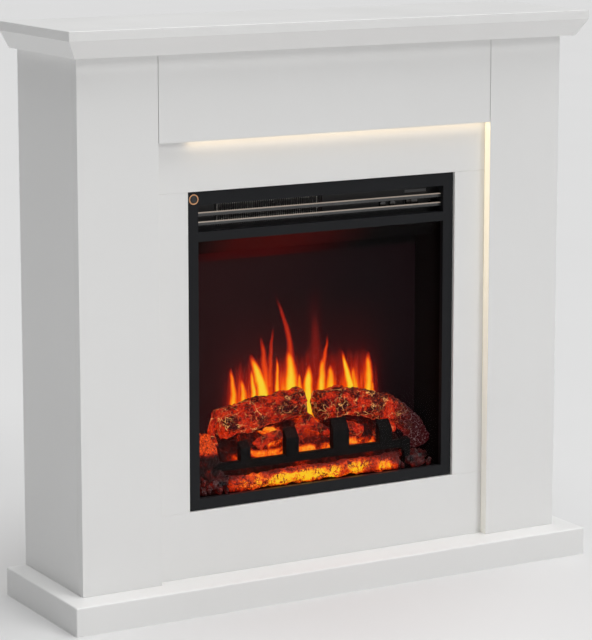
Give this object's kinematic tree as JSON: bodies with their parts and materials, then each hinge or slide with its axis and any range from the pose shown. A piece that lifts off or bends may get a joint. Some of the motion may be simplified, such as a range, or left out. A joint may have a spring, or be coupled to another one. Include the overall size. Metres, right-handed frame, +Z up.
{
  "type": "electric fireplace",
  "caption": "Free-standing electric fireplace: white board surround with a stepped plinth and lit bay, around a black glazed firebox with logs, flame effect, fan heater and controls.",
  "frame": {"origin": "on the floor, under the middle of the outer box", "axes": "+X to the right when facing the glass, +Y from the front to the back, +Z up"},
  "size_m": [0.915, 0.254, 0.89],
  "materials": {
    "painted_board": "satin white lacquer on fibreboard",
    "raw_board": "bare fibreboard",
    "hardboard": "bare hardboard",
    "screw_steel": "zinc plated",
    "strip_channel": "anodised",
    "strip_diffuser": "milky",
    "strip_tape": "white flexible circuit",
    "black_plastic": "fine grain",
    "trim_black": "satin black powder coat",
    "window_glass": "clear toughened",
    "casing_steel": "black coated sheet",
    "liner_black": "matt black",
    "screen_plastic": "smoked",
    "mask_sheet": "mill",
    "mirror_paddles": "bright foil",
    "motor_steel": "zinc plated",
    "circuit": "solder mask",
    "ember_resin": "painted translucent moulding",
    "log_resin": "painted charred moulding",
    "grate_black": "matt black",
    "fan_housing": "galvanised",
    "fan_wheel": "mill",
    "heater": "finned",
    "guard_black": "satin black",
    "button_black": "polished",
    "smoked_lens": "smoked",
    "badge_copper": "copper coloured ring on a dark disc"
  },
  "bodies": {
    "fireplace": {"blower_housing": "fan_housing", "blower_motor": "motor_steel", "casing_back": "casing_steel", "casing_screws": "screw_steel", "casing_wrap": "casing_steel", "control_board": "circuit", "control_panel": "guard_black", "cord_gland": "black_plastic", "crown_front": "painted_board", "crown_left": "painted_board", "crown_right": "painted_board", "ember_bed": "ember_resin", "firebox_hood": "liner_black", "firebox_liner": "liner_black", "flame_mask": "mask_sheet", "flame_screen": "screen_plastic", "front_glass": "window_glass", "grate": "grate_black", "header_board": "painted_board", "heating_element": "heater", "inner_bottom_rail": "painted_board", "inner_cleats": "raw_board", "inner_left_stile": "painted_board", "inner_right_stile": "painted_board", "inner_top_rail": "painted_board", "insert_shelf": "raw_board", "led_channel": "strip_channel", "led_diffuser": "strip_diffuser", "led_driver": "black_plastic", "led_tape": "strip_tape", "left_log": "log_resin", "left_pilaster_face": "painted_board", "left_side_panel": "painted_board", "light_boards": "circuit", "lower_slat": "trim_black", "outlet_guard": "guard_black", "panel_lenses": "smoked_lens", "pilaster_backs": "hardboard", "pilaster_returns": "raw_board", "plinth_front": "painted_board", "plinth_left": "painted_board", "plinth_right": "painted_board", "plinth_top": "painted_board", "right_log": "log_resin", "right_pilaster_face": "painted_board", "right_side_panel": "painted_board", "rocker_housing": "black_plastic", "spindle_bush": "black_plastic", "spindle_motor": "motor_steel", "surround_screws": "screw_steel", "top_board": "painted_board", "trim_badge": "badge_copper", "trim_frame": "trim_black", "upper_slat": "trim_black", "wall_brackets": "screw_steel"},
    "spindle": {"flame_spindle": "mirror_paddles"},
    "fan_wheel": {"blower_wheel": "fan_wheel"},
    "flame_button": {"button_flame": "button_black"},
    "heat_button": {"button_heat": "button_black"},
    "switch_rocker": {"power_rocker": "button_black"}
  },
  "joints": [
    {"name": "spindle_turn", "type": "hinge", "parent": "fireplace", "child": "spindle", "pos_m": [0, 0.046, 0.181], "axis": [1, 0, 0], "continuous": true},
    {"name": "fan_turn", "type": "hinge", "parent": "fireplace", "child": "fan_wheel", "pos_m": [0, 0.03, 0.601], "axis": [1, 0, 0], "continuous": true},
    {"name": "flame_button_press", "type": "slide", "parent": "fireplace", "child": "flame_button", "axis": [0, 1, 0], "range_m": [0, 0.0014], "stiffness_N_per_m": 700, "springref_m": -0.0006},
    {"name": "heat_button_press", "type": "slide", "parent": "fireplace", "child": "heat_button", "axis": [0, 1, 0], "range_m": [0, 0.0014], "stiffness_N_per_m": 700, "springref_m": -0.0006},
    {"name": "power_switch", "type": "hinge", "parent": "fireplace", "child": "switch_rocker", "pos_m": [0.175, -0.034, 0.5925], "axis": [0, 0, 1], "range_deg": [-16, 0]}
  ]
}
